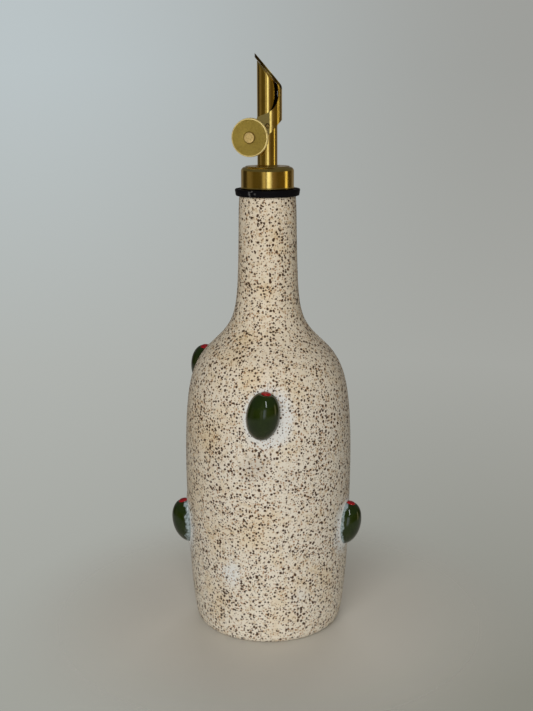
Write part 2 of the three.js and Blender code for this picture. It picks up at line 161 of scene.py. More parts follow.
def turned_faces(rows, sides, closed=True):
    """Faces of a skin of rows of corners, with a single corner at each end where it is closed."""
    faces = []
    for row in range(rows - 1):
        for side in range(sides):
            after = (side + 1) % sides
            base = row * sides
            faces.append((base + side, base + after, base + sides + after, base + sides + side))
    if closed:
        foot_end = rows * sides
        top_end = foot_end + 1
        top = (rows - 1) * sides
        faces += [(foot_end, (side + 1) % sides, side) for side in range(sides)]
        faces += [(top_end, top + side, top + (side + 1) % sides) for side in range(sides)]
    return faces


def turned_corners(profile, sides):
    """Corners of a profile of (radius, height) turned round Z, with a corner on the axis at each end."""
    angles = np.arange(sides) * (2 * math.pi / sides)
    ring = np.stack([np.cos(angles), np.sin(angles)], axis=1)
    rows = [np.c_[ring * radius, np.full(sides, height)] for radius, height in profile]
    return np.concatenate(rows + [[[0, 0, profile[0][1]], [0, 0, profile[-1][1]]]])


rings = [ring for ring in turned_rings("bottle") if ring[0] > 0]
foot_radius = rings[0][0]
rim_radius, rim_height = rings[-1]
wall = through_points(rings, WALL_STEPS)
bottle_profile = [(foot_radius * share, 0) for share in FOOT_RINGS]
bottle_profile += [tuple(point) for point in wall]
bottle_profile += [(rim_radius * share, rim_height) for share in RIM_RINGS]
bottle_corners = turned_corners(bottle_profile, WALL_SIDES)


def wall_radius(height):
    """Radius of the bottle's outer wall at a height."""
    return float(np.interp(height, wall[:, 1], wall[:, 0]))


def thrown(corner):
    """How far the potter's hand leaves the wall inside its true round form."""
    place = Vector(corner) * SWAYS_PER_METRE
    sway = 0.5 + 0.5 * noise.noise(place)
    wander = RIDGE_WANDER * noise.noise(place * 0.5)
    ridge = 0.5 + 0.5 * math.sin(corner[2] / THROWING_PITCH * 2 * math.pi + wander)
    return THROWN_UNEVENNESS * sway + THROWING_RIDGE * ridge


for corner in bottle_corners:
    radius = math.hypot(corner[0], corner[1])
    if foot_radius < radius and corner[2] < rim_height - TRUE_RIM:
        corner[:2] *= 1 - thrown(corner) / radius

bottle = new_piece("stoneware_bottle", bottle_corners, turned_faces(len(bottle_profile), WALL_SIDES))


def put_values(piece, name, values):
    """Paints values on a mesh's corners."""
    attribute = piece.data.attributes.get(name) or piece.data.attributes.new(name, "FLOAT", "POINT")
    attribute.data.foreach_set("value", np.asarray(values, np.float32))


fray = np.array([noise.noise(Vector(corner) * FRAYS_PER_METRE) for corner in bottle_corners])
patch_values = {}
for name, patches in PATCHES.items():
    values = np.zeros(len(bottle_corners))
    for turn, height, reach, strength in patches:
        angle = math.radians(turn)
        radius = wall_radius(height * MM)
        middle = np.array((radius * math.sin(angle), -radius * math.cos(angle), height * MM))
        apart = np.linalg.norm(bottle_corners - middle, axis=1) / MM + PATCH_FRAY * fray
        values = np.maximum(values, strength * np.clip(PATCH_FILL - apart / reach, 0, 1))
    patch_values[name] = values
    put_values(bottle, name, values)


def add_node(tree, kind, inputs, **settings):
    """Adds a node, sets it up, and joins or sets the inputs that are given."""
    made = tree.nodes.new("ShaderNode" + kind)
    for name, value in settings.items():
        setattr(made, name, value)
    for socket, value in inputs.items():
        if isinstance(value, bpy.types.NodeSocket):
            tree.links.new(value, made.inputs[socket])
        else:
            made.inputs[socket].default_value = value
    return made


def new_finish(name):
    """A fresh material with its node tree, its shader and places on the object."""
    material = bpy.data.materials.new(name)
    material.use_nodes = True
    tree = material.node_tree
    place = add_node(tree, "TexCoord", {}).outputs["Object"]
    return material, tree, tree.nodes["Principled BSDF"], place


def grain(tree, place, size, detail=3.0, roughness=0.55):
    """Cloudy variation from 0 to 1 with features of about the given size."""
    inputs = {"Vector": place, "Scale": 1 / size, "Detail": detail, "Roughness": roughness}
    return add_node(tree, "TexNoise", inputs).outputs["Fac"]


def ramp(tree, value, low, high, start=0.0, end=1.0):
    """Carries a value from the range low to high over to the range start to end, with soft ends."""
    inputs = {"Value": value, "From Min": low, "From Max": high, "To Min": start, "To Max": end}
    return add_node(tree, "MapRange", inputs, interpolation_type="SMOOTHSTEP").outputs[0]


def clouded(tree, place, size, start, end, spread=(0.3, 0.7), detail=3.0, roughness=0.55):
    """A value that wanders from start to end in clouds of the given size, over a spread of the grain."""
    return ramp(tree, grain(tree, place, size, detail, roughness), *spread, start, end)


def maths(tree, operation, first, second):
    """One sum of two values."""
    return add_node(tree, "Math", {0: first, 1: second}, operation=operation).outputs[0]


def washed(tree, amount, under, over):
    """One colour laid over another by an amount."""
    mix = add_node(tree, "Mix", {0: amount, 6: under, 7: over}, data_type="RGBA")
    return mix.outputs[2]


def layer(tree, name):
    """A value painted on the mesh."""
    return add_node(tree, "Attribute", {}, attribute_name=name).outputs["Fac"]


def wobbled(tree, place, size, reach):
    """Places shaken a little, so that what is drawn there has uneven edges."""
    shake = add_node(tree, "TexNoise", {"Vector": place, "Scale": 1 / size, "Detail": 2.0})
    middle = {0: shake.outputs["Color"], 1: (0.5, 0.5, 0.5)}
    centred = add_node(tree, "VectorMath", middle, operation="SUBTRACT")
    scaled = add_node(tree, "VectorMath", {0: centred.outputs[0], "Scale": reach}, operation="SCALE")
    return add_node(tree, "VectorMath", {0: place, 1: scaled.outputs[0]}, operation="ADD").outputs[0]


def specks(tree, place, spacing, smallest, largest, soft, crowd):
    """Specks of many sizes, about one to a cell, that gather where the crowd value is high."""
    cells = add_node(tree, "TexVoronoi", {"Vector": place, "Scale": 1 / spacing})
    own = add_node(tree, "SeparateColor", {"Color": cells.outputs["Color"]}).outputs[0]
    sizes = {"Value": own, "To Min": smallest / spacing, "To Max": largest / spacing}
    size = add_node(tree, "MapRange", sizes).outputs[0]
    reach = maths(tree, "MAXIMUM", maths(tree, "MULTIPLY", size, crowd), LEAST_SPECK)
    share = maths(tree, "DIVIDE", cells.outputs["Distance"], reach)
    return ramp(tree, share, 1 - soft, 1 + soft, 1.0, 0.0)


def coloured(tree, shader, colour, roughness):
    """Joins a colour and a roughness to the shader."""
    tree.links.new(colour, shader.inputs["Base Color"])
    tree.links.new(roughness, shader.inputs["Roughness"])


def embossed(tree, shader, height, strength, depth):
    """Relief that is too fine for the mesh."""
    bump = add_node(tree, "Bump", {"Height": height, "Strength": strength, "Distance": depth})
    tree.links.new(bump.outputs[0], shader.inputs["Normal"])


def speckled_glaze():
    """Cream glaze with ochre clouds, smoke, white runs and tan, rust and iron specks."""
    material, tree, shader, place = new_finish("speckled_cream_glaze")
    milk = layer(tree, "milk")
    height = add_node(tree, "SeparateXYZ", {"Vector": place}).outputs["Z"]
    clouds = clouded(tree, place, OCHRE_CLOUD_SIZE, 0.0, OCHRE_CLOUD, spread=(0.5, 0.72), detail=4.0)
    warm_top = ramp(tree, height, WARM_FROM, WARM_TO, 0.0, WARM_TOP)
    # The ochre is partly painted warm light, from the broad patches on the left side
    ochre_and_warm_light = maths(tree, "MAXIMUM", maths(tree, "ADD", clouds, warm_top), layer(tree, "ochre_and_warm_light"))
    mottle = clouded(tree, place, MOTTLE_SIZE, 0.0, MOTTLE, spread=(0.45, 0.7), detail=5.0, roughness=0.7)
    colour = washed(tree, ochre_and_warm_light, CREAM_GLAZE, OCHRE_GLAZE)
    colour = washed(tree, mottle, colour, TAN_SPECK)
    colour = washed(tree, layer(tree, "smoke"), colour, SMOKE_GLAZE)
    colour = washed(tree, milk, colour, MILK_GLAZE)
    uneven = wobbled(tree, place, SPECK_SHAKE_SIZE, SPECK_SHAKE)
    thinned = ramp(tree, milk, low=0.3, high=1.0, start=1.0, end=SPECKS_UNDER_MILK)
    crowd = maths(tree, "MULTIPLY", clouded(tree, place, CROWD_SIZE, *CROWD), thinned)
    for speck, strength, spacing, smallest, largest, soft in SPECK_LAYERS:
        drawn = specks(tree, uneven, spacing * MM, smallest * MM, largest * MM, soft, crowd)
        colour = washed(tree, maths(tree, "MULTIPLY", drawn, strength), colour, speck)
    iron = drawn
    beaded = ramp(tree, layer(tree, "bead"), low=0.5, high=0.95, start=0.0, end=0.9)
    colour = washed(tree, beaded, colour, SEAM_WHITE)
    bare = ramp(tree, height, *GLAZE_LINE, 1.0, 0.0)
    colour = washed(tree, bare, colour, BARE_CLAY)
    dull_specks = maths(tree, "MULTIPLY", iron, SPECK_DULLNESS)
    dull = maths(tree, "MAXIMUM", dull_specks, maths(tree, "MULTIPLY", bare, CLAY_DULLNESS))
    satin = clouded(tree, place, SATIN_SIZE, *GLAZE_SATIN)
    coloured(tree, shader, colour, maths(tree, "MAXIMUM", satin, dull))
    shader.inputs["Specular IOR Level"].default_value = 0.22
    pits = maths(tree, "SUBTRACT", grain(tree, place, PIT_SIZE), maths(tree, "MULTIPLY", iron, SPECK_PIT))
    embossed(tree, shader, pits, strength=0.25, depth=GLAZE_RELIEF)
    return material


bottle.data.materials.append(speckled_glaze())
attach(bottle, "bottle_body")
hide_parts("bottle")

# The olives
# Six stoneware olives pressed on to the wet wall in two rows of three, each with a red pimento in its top.
# They have a dark green gloss, and the white glaze pools round them and runs up their sides.
OLIVE_RADIUS = 8.1 * MM
OLIVE_HALF_LENGTH = 11.9 * MM
OLIVE_TOP_FULLNESS = 0.8
OLIVE_LEAN_OUT = 0.2
OLIVE_SKIN = 0.978
OLIVE_DENT = 0.12 * MM
DENTS_PER_METRE = 160
OLIVE_STEPS = 72
OLIVE_SIDES = 96
LOWEST_ANGLE = 0.03 - math.pi / 2
SLOPE_STEP = 5 * MM
PIMENTO_RADIUS = 2.5 * MM
PIMENTO_RISE = 0.7 * MM
PIMENTO_SINK = 0.3 * MM
PIMENTO_FIT = 0.97
PIMENTO_FULLNESS = 0.8
PIMENTO_STEPS = 14
LIP_WIDTH = 0.09
LIP_PULL = 0.3
BEAD_WIDTH = 1.6
BEAD_RISE = 0.45 * MM
POOL_LIMIT = 26 * MM
POOL_FILL = 1.1
RIM_FILL = 1.25
FILM_REACH = 2 * MM
THIN_GLAZE = 0.35
PALE_FLECKS = 0.5
GREEN_GLAZE = (0.009, 0.0175, 0.0017, 1)
PALE_GREEN_GLAZE = (0.022, 0.034, 0.005, 1)
PIMENTO_RED = (0.26, 0.006, 0.009, 1)
PIMENTO_DARK = (0.15, 0.004, 0.007, 1)
MILKY_FILM = (0.33, 0.40, 0.42, 1)

# Uneven edges of the pools: reach in millimetres and waves to a metre
POOL_FRAYS = [(1.6, 160), (0.8, 420)]

# Turn from the front towards +X and lean of the top to the right are in degrees. The pool is the
# white glaze beside the olive: how far it is drawn to the right and up, and how far it spreads.
# The milk is the width of the white film that climbs the olive from its seam, and the drift is how
# much wider that film is on the right side than on the left. The bead is how white its seam is.
OLIVES = {
    "olive_upper_front": dict(
        turn=-3.6, height=117.3, lean=8, size=1.0, pool=(3.2, -0.8, 4.0), milk=0.9, drift=-0.9, bead=0.2
    ),
    "olive_upper_left": dict(
        turn=-124, height=126.2, lean=10, size=1.0, pool=(1.5, -1.5, 3.4), milk=0.8, drift=0, bead=0.6
    ),
    "olive_upper_back": dict(
        turn=138, height=119, lean=-5, size=0.98, pool=(-1.5, -2, 4.0), milk=1.0, drift=0.3, bead=0.6
    ),
    "olive_lower_left": dict(
        turn=-82, height=52.8, lean=0, size=0.99, pool=(1.2, -1.5, 3.8), milk=2.3, drift=0, bead=1
    ),
    "olive_lower_right": dict(
        turn=69.5, height=54.7, lean=4, size=0.95, pool=(-2, -1.5, 4.4), milk=1.6, drift=0, bead=1
    ),
    "olive_lower_back": dict(
        turn=176, height=55, lean=6, size=0.95, pool=(1, -2, 4.0), milk=1.4, drift=-0.2, bead=0.6
    ),
}


def olive_place(turn, height, lean, **_):
    """Where an olive's middle is, and the ways across it, outwards from the wall and up along it."""
    angle = math.radians(turn)
    middle = height * MM
    outward = Vector((math.sin(angle), -math.cos(angle), 0))
    slope = (wall_radius(middle + SLOPE_STEP) - wall_radius(middle - SLOPE_STEP)) / (2 * SLOPE_STEP)
    upward = (Vector((0, 0, 1)) + outward * (slope + OLIVE_LEAN_OUT)).normalized()
    upward = Matrix.Rotation(-math.radians(lean), 3, outward) @ upward
    across = (-outward).cross(upward).normalized()
    outward_square = -(upward.cross(across))
    return outward * wall_radius(middle) + Vector((0, 0, middle)), across, outward_square, upward


def olive_profile():
    """Radius and height from the olive's lower end to the top of its pimento."""
    shoulder = math.acos((PIMENTO_RADIUS / OLIVE_RADIUS) ** (1 / OLIVE_TOP_FULLNESS))
    rim = OLIVE_HALF_LENGTH * math.sin(shoulder) - PIMENTO_SINK
    points = []
    for angle in np.linspace(LOWEST_ANGLE, shoulder, OLIVE_STEPS):
        fullness = OLIVE_TOP_FULLNESS if angle > 0 else 1
        lip = PIMENTO_SINK * math.exp(-((angle - shoulder) / LIP_WIDTH) ** 2)
        radius = OLIVE_RADIUS * math.cos(angle) ** fullness
        points.append((radius - LIP_PULL * lip, OLIVE_HALF_LENGTH * math.sin(angle) - lip))
    for share in np.linspace(0.06, 0.97, PIMENTO_STEPS):
        angle = share * math.pi / 2
        dome = (PIMENTO_RISE + PIMENTO_SINK) * math.sin(angle) ** PIMENTO_FULLNESS
        points.append((PIMENTO_FIT * PIMENTO_RADIUS * math.cos(angle), rim + dome))
    return points


def from_olive(corner, place, size):
    """How far a corner lies from an olive's skin, in millimetres."""
    middle, across, outward, upward = place
    apart = Vector(corner) - middle
    flat = math.hypot(apart.dot(across), apart.dot(outward)) / OLIVE_RADIUS
    reach = math.hypot(flat, apart.dot(upward) / OLIVE_HALF_LENGTH)
    return (reach / size - 1) * OLIVE_RADIUS / MM


def olive_glaze():
    """Dark green gloss, paler where it is thin, red on the pimento and milky by the seam."""
    material, tree, shader, place = new_finish("dark_olive_gloss")
    thin = clouded(tree, place, size=3.5 * MM, start=0.0, end=1.0, spread=(0.45, 0.75), detail=4.0)
    thin = maths(tree, "MULTIPLY", thin, THIN_GLAZE)
    colour = washed(tree, thin, GREEN_GLAZE, PALE_GREEN_GLAZE)
    uneven = wobbled(tree, place, size=0.6 * MM, reach=0.5 * MM)
    flecks = specks(tree, uneven, spacing=1.1 * MM, smallest=0.0, largest=0.24 * MM, soft=0.4, crowd=1.0)
    flecks = maths(tree, "MULTIPLY", flecks, PALE_FLECKS)
    colour = washed(tree, flecks, colour, PALE_GREEN_GLAZE)
    patchy = clouded(tree, place, size=4 * MM, start=-0.19, end=0.19, detail=2.0)
    film = ramp(tree, maths(tree, "ADD", layer(tree, "film"), patchy), low=0.4, high=0.62)
    thickness = clouded(tree, place, size=1.3 * MM, start=0.18, end=0.8, spread=(0.3, 0.65))
    colour = washed(tree, maths(tree, "MULTIPLY", film, thickness), colour, MILKY_FILM)
    darker = clouded(tree, place, size=1.2 * MM, start=0.0, end=1.0, spread=(0.45, 0.7))
    red = washed(tree, darker, PIMENTO_RED, PIMENTO_DARK)
    colour = washed(tree, layer(tree, "pimento"), colour, red)
    coloured(tree, shader, colour, clouded(tree, place, size=2.5 * MM, start=0.06, end=0.12))
    embossed(tree, shader, grain(tree, place, size=2.2 * MM), strength=0.2, depth=0.12 * MM)
    return material


dark_gloss = olive_glaze()
profile = olive_profile()
olive_shape = turned_corners(profile, OLIVE_SIDES)
olive_faces = turned_faces(len(profile), OLIVE_SIDES)
pimento = np.zeros(len(olive_shape))
pimento[OLIVE_STEPS * OLIVE_SIDES:] = 1
lower_end = -2
pimento[lower_end] = 0
milk = patch_values["milk"]
beads = np.zeros(len(bottle_corners))
seam_white = np.zeros(len(bottle_corners))
for name, olive in OLIVES.items():
    place = olive_place(**olive)
    middle, across, outward, upward = place
    size = olive["size"]
    turn_of_olive = Matrix((across, -outward, upward)).transposed()
    corners = []
    film = []
    for corner in olive_shape:
        own = Vector(corner) * DENTS_PER_METRE + Vector((olive["turn"], 0, 0))
        dent = max(OLIVE_DENT * noise.noise(own), 0)
        corner = Vector(corner) * size * OLIVE_SKIN
        corner = corner - corner.normalized() * dent
        spot = turn_of_olive @ corner + middle
        clear = math.hypot(spot.x, spot.y) - wall_radius(spot.z)
        milky = olive["milk"] * (1 + olive["drift"] * corner.x / OLIVE_RADIUS)
        film.append(1 - clear / (milky * FILM_REACH))
        corners.append(spot)
    piece = new_piece("glazed_" + name, corners, olive_faces)
    put_values(piece, "pimento", pimento)
    put_values(piece, "film", np.clip(film, 0, 1) * (1 - pimento))
    piece.data.materials.append(dark_gloss)
    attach(piece, "bottle_body")
    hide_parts(name)
    right, up, spread = olive["pool"]
    for index, corner in enumerate(bottle_corners):
        corner = Vector(corner)
        if (corner - middle).length > POOL_LIMIT:
            continue
        edge = from_olive(corner - across * right * MM - upward * up * MM, place, size)
        edge += sum(reach * noise.noise(corner * waves) for reach, waves in POOL_FRAYS)
        seam = from_olive(corner, place, size)
        pooled = np.clip(POOL_FILL - edge / spread, 0, 1)
        rim = np.clip(RIM_FILL - seam / BEAD_WIDTH, 0, 1)
        bead = math.exp(-((max(seam, 0) / BEAD_WIDTH) ** 2))
        milk[index] = max(milk[index], pooled, rim)
        beads[index] = max(beads[index], bead)
        seam_white[index] = max(seam_white[index], bead * olive["bead"])
put_values(bottle, "milk", milk)
put_values(bottle, "bead", seam_white)
for vertex, bead in zip(bottle.data.vertices, beads):
    out = Vector((vertex.co.x, vertex.co.y, 0)).normalized()
    vertex.co += out * bead * BEAD_RISE

# The stopper
# A black silicone bung moulded in one piece. Its flange lies on the rim of the neck and carries
# the collar, and a grey patch on its edge at one place in front is a painted highlight.
STOPPER_ROUND = 0.5 * MM
STOPPER_TAPER = 0.35 * MM
STOPPER_SIDES = 160
SILICONE_BLACK = (0.004, 0.004, 0.005, 1)
SILICONE_DUST = (0.12, 0.12, 0.12, 1)
# Painted highlight: where the grey patch on the front of the edge is put and how far it reaches; the
# strength serves both the scuffs and that patch
HIGHLIGHT_TURN = math.radians(-29)
HIGHLIGHT_REACH = 2.6 * MM
SCUFF_AND_HIGHLIGHT_STRENGTH = 0.8
BLOOM = 0.02
low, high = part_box("stopper")
stopper_radius = high.x
highlight_place = (
    stopper_radius * math.sin(HIGHLIGHT_TURN),
    -stopper_radius * math.cos(HIGHLIGHT_TURN),
    0.45 * low.z + 0.55 * high.z,
)


def arc(centre_radius, centre_height, radius, start, end, steps=8):
    """Points of an arc in a profile, by angles in degrees from straight out."""
    angles = np.radians(np.linspace(start, end, steps))
    return [(centre_radius + radius * math.cos(a), centre_height + radius * math.sin(a)) for a in angles]


def turned_piece(name, profile, sides):
    """A closed piece turned round Z."""
    return new_piece(name, turned_corners(profile, sides), turned_faces(len(profile), sides))


lower_edge = stopper_radius - STOPPER_TAPER - STOPPER_ROUND
upper_edge = stopper_radius - STOPPER_ROUND
stopper_profile = [(0.3 * lower_edge, low.z), (0.9 * lower_edge, low.z)]
stopper_profile += arc(lower_edge, low.z + STOPPER_ROUND, STOPPER_ROUND, -90, 0)
stopper_profile += [(stopper_radius - 0.45 * STOPPER_TAPER, 0.5 * (low.z + high.z))]
stopper_profile += arc(upper_edge, high.z - STOPPER_ROUND, STOPPER_ROUND, 0, 90)
stopper_profile += [(0.9 * upper_edge, high.z), (0.3 * upper_edge, high.z)]
stopper = turned_piece("silicone_stopper", stopper_profile, STOPPER_SIDES)


def moulded_silicone():
    """Black silicone with a soft bloom, fine moulding grain, a few pale scuffs and a grey painted highlight
    in front.
    """
    material, tree, shader, place = new_finish("black_silicone")
    bloom = clouded(tree, place, 4 * MM, 0.0, BLOOM, spread=(0.5, 0.9), detail=5.0, roughness=0.7)
    colour = washed(tree, bloom, SILICONE_BLACK, SILICONE_DUST)
    uneven = wobbled(tree, place, size=1.2 * MM, reach=2.2 * MM)
    sizes = dict(spacing=4.2 * MM, smallest=-1.6 * MM, largest=0.45 * MM)
    scuffs_and_highlight = specks(tree, uneven, **sizes, soft=0.4, crowd=1.0)
    # Painted highlight: a grey patch round one place in front, broken up by noise, joins the scuffs
    apart = add_node(tree, "VectorMath", {0: place, 1: highlight_place}, operation="DISTANCE")
    by_highlight = ramp(tree, apart.outputs["Value"], 0.4 * HIGHLIGHT_REACH, HIGHLIGHT_REACH, 1.0, 0.0)
    painted_light_mark = clouded(tree, place, size=1.3 * MM, start=0.0, end=1.0, spread=(0.5, 0.62), detail=2.0)
    scuffs_and_highlight = maths(tree, "MAXIMUM", scuffs_and_highlight, maths(tree, "MULTIPLY", by_highlight, painted_light_mark))
    colour = washed(tree, maths(tree, "MULTIPLY", scuffs_and_highlight, SCUFF_AND_HIGHLIGHT_STRENGTH), colour, SILICONE_DUST)
    coloured(tree, shader, colour, clouded(tree, place, size=2 * MM, start=0.42, end=0.55))
    shader.inputs["Specular IOR Level"].default_value = 0.05
    embossed(tree, shader, grain(tree, place, size=0.5 * MM), strength=0.3, depth=0.04 * MM)
    return material


stopper.data.materials.append(moulded_silicone())
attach(stopper, "bottle_body")
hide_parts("stopper")

# The collar
# A turned brass cap that sits on the flange, with a bead at its foot and a round shoulder.
# The tube stands in the shallow socket in the middle of its flat top.
COLLAR_ROUND = 2 * MM
COLLAR_BEAD_HEIGHT = 1 * MM
COLLAR_BEAD_ROUND = 0.3 * MM
COLLAR_BEAD_RISE = 0.25 * MM
COLLAR_LIP = 0.4 * MM
COLLAR_LIP_ROUND = 0.15 * MM
COLLAR_LIP_INSET = 0.3 * MM
COLLAR_SIDES = 160
SOCKET_RADIUS = 5.2 * MM
SOCKET_DEPTH = 0.7 * MM
BRASS = (0.80, 0.58, 0.15, 1)
BRASS_BRIGHT = (0.90, 0.72, 0.28, 1)
BRASS_TARNISH = (0.40, 0.26, 0.06, 1)
TARNISH = 0.5
BRIGHT_STROKES = 0.3
POLISH = (0.10, 0.2)
TURNED_STROKE = (0.15, 0.15, 3.0)
low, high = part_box("collar")
collar_radius = high.x - COLLAR_BEAD_RISE
collar_top = high.z
plateau = collar_radius - COLLAR_ROUND
shoulder_top = collar_top - COLLAR_LIP
bead_middle = collar_radius + COLLAR_BEAD_RISE - COLLAR_BEAD_ROUND
lip_middle = collar_top - COLLAR_LIP_ROUND
socket_floor = collar_top - SOCKET_DEPTH
collar_profile = [(0.3 * collar_radius, low.z), (0.98 * collar_radius, low.z)]
collar_profile += arc(bead_middle, low.z + 0.5 * COLLAR_BEAD_HEIGHT, COLLAR_BEAD_ROUND, -75, 75)
collar_profile += [
    (collar_radius, low.z + 0.95 * COLLAR_BEAD_HEIGHT),
    (collar_radius, low.z + 1.6 * COLLAR_BEAD_HEIGHT),
    (collar_radius, shoulder_top - 1.5 * COLLAR_ROUND),
]
collar_profile += arc(plateau, shoulder_top - COLLAR_ROUND, COLLAR_ROUND, 0, 88, 16)
collar_profile += [(plateau - 0.05 * MM, shoulder_top + 0.4 * COLLAR_LIP)]
collar_profile += arc(plateau - COLLAR_LIP_INSET, lip_middle, COLLAR_LIP_ROUND, 10, 90, 5)
collar_profile += arc(SOCKET_RADIUS + COLLAR_LIP_ROUND, lip_middle, COLLAR_LIP_ROUND, 90, 180, 5)
collar_profile += [(SOCKET_RADIUS, socket_floor), (0.4 * SOCKET_RADIUS, socket_floor)]
collar = turned_piece("brass_collar", collar_profile, COLLAR_SIDES)


def polished_brass(name, roughness, stroke, base=BRASS):
    """Brass with fine strokes left by the tool, finger marks and a brown tarnish in patches."""
    material, tree, shader, place = new_finish(name)
    lines = add_node(tree, "VectorMath", {0: place, 1: stroke}, operation="MULTIPLY").outputs[0]
    strokes = grain(tree, lines, size=0.35 * MM, detail=2.0)
    tarnish = clouded(tree, place, 6 * MM, 0.0, TARNISH, spread=(0.5, 0.78), detail=5.0, roughness=0.65)
    bright = ramp(tree, strokes, low=0.45, high=0.8, start=0.0, end=BRIGHT_STROKES)
    colour = washed(tree, bright, base, BRASS_BRIGHT)
    colour = washed(tree, tarnish, colour, BRASS_TARNISH)
    marks = clouded(tree, place, 3 * MM, *roughness, spread=(0.35, 0.7), detail=4.0)
    coloured(tree, shader, colour, marks)
    shader.inputs["Metallic"].default_value = 1.0
    embossed(tree, shader, strokes, strength=0.12, depth=0.02 * MM)
    return material


turned_brass = polished_brass("turned_brass", POLISH, TURNED_STROKE)
collar.data.materials.append(turned_brass)
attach(collar, "bottle_body")
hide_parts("collar")

# The spout tube
# A brass tube soldered into the collar and cut off on the slant. Two headed studs on its sides
# are the pivots that the flap swings on. It is a hair thinner than its faceted solid, because
# it is rounder and has to clear the open flap.
TUBE_RADIUS = 4.75 * MM
TUBE_WALL = 0.8 * MM
TUBE_EDGE = 0.18 * MM
TUBE_SIDES = 128
TUBE_RINGS = (0, 0.01, 0.25, 0.5, 0.75, 0.96)
DRAWN_STROKE = (3.0, 3.0, 0.12)
SLANT = math.radians(49.5)
TIP_X = -5.7 * MM
TIP_HEIGHT = 280.5 * MM
COVER = 1.2 * MM
SEAT_GAP = 0.15 * MM
tube_low, tube_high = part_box("spout_tube")
slant_up = Vector((math.sin(SLANT), 0, math.cos(SLANT)))
slant_top = slant_up.dot(Vector((TIP_X, 0, TIP_HEIGHT)))
mouth = slant_top - COVER - SEAT_GAP


def mouth_height(x):
    """Height of the tube's slanting mouth at a place across it."""
    return (mouth - slant_up.x * x) / slant_up.z


def tube_rows():
    """Rows up the outside of the tube, over its slanting edge and down the bore: radius, share and drop."""
    bore = TUBE_RADIUS - TUBE_WALL
    eased = 0.3 * TUBE_EDGE
    outside = [(TUBE_RADIUS, share, 0) for share in TUBE_RINGS]
    edge = [
        (TUBE_RADIUS, 1, -TUBE_EDGE),
        (TUBE_RADIUS - eased, 1, -eased),
        (TUBE_RADIUS - TUBE_EDGE, 1, 0),
        (bore + TUBE_EDGE, 1, 0),
        (bore + eased, 1, -eased),
        (bore, 1, -TUBE_EDGE),
    ]
    inside = [(bore, share, 0) for share in reversed(TUBE_RINGS)]
    return outside + edge + inside


rows = tube_rows()
tube_corners = []
for radius, share, drop in rows:
    for side in range(TUBE_SIDES):
        angle = side * 2 * math.pi / TUBE_SIDES
        x = radius * math.cos(angle)
        height = tube_low.z + share * (mouth_height(x) - tube_low.z) + drop
        tube_corners.append((x, radius * math.sin(angle), height))


def looped_faces(rows, sides):
    """Faces of a skin of rows of corners whose last row joins its first."""
    faces = turned_faces(rows, sides, closed=False)
    last = (rows - 1) * sides
    for side in range(sides):
        after = (side + 1) % sides
        faces.append((last + side, last + after, after, side))
    return faces


tube = new_piece("brass_spout_tube", tube_corners, looped_faces(len(rows), TUBE_SIDES))
drawn_brass = polished_brass("drawn_brass", POLISH, DRAWN_STROKE)
tube.data.materials.append(drawn_brass)
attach(tube, "bottle_body")
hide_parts("spout_tube")

SOLDER_RISE = 0.55 * MM
SOLDER_REACH = 1.1 * MM
SOLDER_EDGE = 0.03 * MM
solder_foot = collar_top - 0.5 * SOCKET_DEPTH
solder_loop = [
    (TUBE_RADIUS, solder_foot),
    (SOCKET_RADIUS, solder_foot),
    (SOCKET_RADIUS, collar_top),
    (TUBE_RADIUS + SOLDER_REACH, collar_top),
    (TUBE_RADIUS + SOLDER_REACH, collar_top + SOLDER_EDGE),
    (TUBE_RADIUS + 0.45 * SOLDER_REACH, collar_top + 0.25 * SOLDER_RISE),
    (TUBE_RADIUS + 0.15 * SOLDER_REACH, collar_top + 0.6 * SOLDER_RISE),
    (TUBE_RADIUS, collar_top + SOLDER_RISE),
]
axis_ends = 2
solder_corners = turned_corners(solder_loop, TUBE_SIDES)[:-axis_ends]
solder = new_piece("solder_fillet", solder_corners, looped_faces(len(solder_loop), TUBE_SIDES))
solder.data.materials.append(turned_brass)
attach(solder, "bottle_body")

PIVOT_HEIGHT = frame["joints"][0]["pos_m"][2]
STUD_RADIUS = 0.85 * MM
STUD_HEAD_RADIUS = 1.2 * MM
STUD_HEAD_HEIGHT = 0.5 * MM
STUD_SIDES = 40
STUD_BRONZE = (0.26, 0.17, 0.05, 1)
STUD_SATIN = (0.3, 0.45)
EVEN_STROKE = (1.0, 1.0, 1.0)
stud_root = TUBE_RADIUS - 0.5 * TUBE_WALL
stud_end = tube_high.y
stud_neck = stud_end - STUD_HEAD_HEIGHT
head_round = 0.45 * STUD_HEAD_RADIUS
stud_profile = [
    (0.5 * STUD_RADIUS, stud_root),
    (STUD_RADIUS, stud_root),
    (STUD_RADIUS, stud_neck),
    (STUD_HEAD_RADIUS, stud_neck),
]
stud_profile += arc(STUD_HEAD_RADIUS - head_round, stud_end - head_round, head_round, 0, 85)


def laid(piece, middle, outward):
    """Stands a piece turned round Z on a point, with its axis along the way given."""
    turn = Vector((0, 0, 1)).rotation_difference(outward).to_matrix().to_4x4()
    piece.data.transform(Matrix.Translation(middle) @ turn)


stud_brass = polished_brass("stud_brass", STUD_SATIN, EVEN_STROKE, STUD_BRONZE)
for name, side in (("front", -1), ("back", 1)):
    stud = turned_piece("pivot_stud_" + name, stud_profile, STUD_SIDES)
    laid(stud, Vector((0, 0, PIVOT_HEIGHT)), Vector((0, side, 0)))
    stud.data.materials.append(stud_brass)
    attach(stud, "bottle_body")

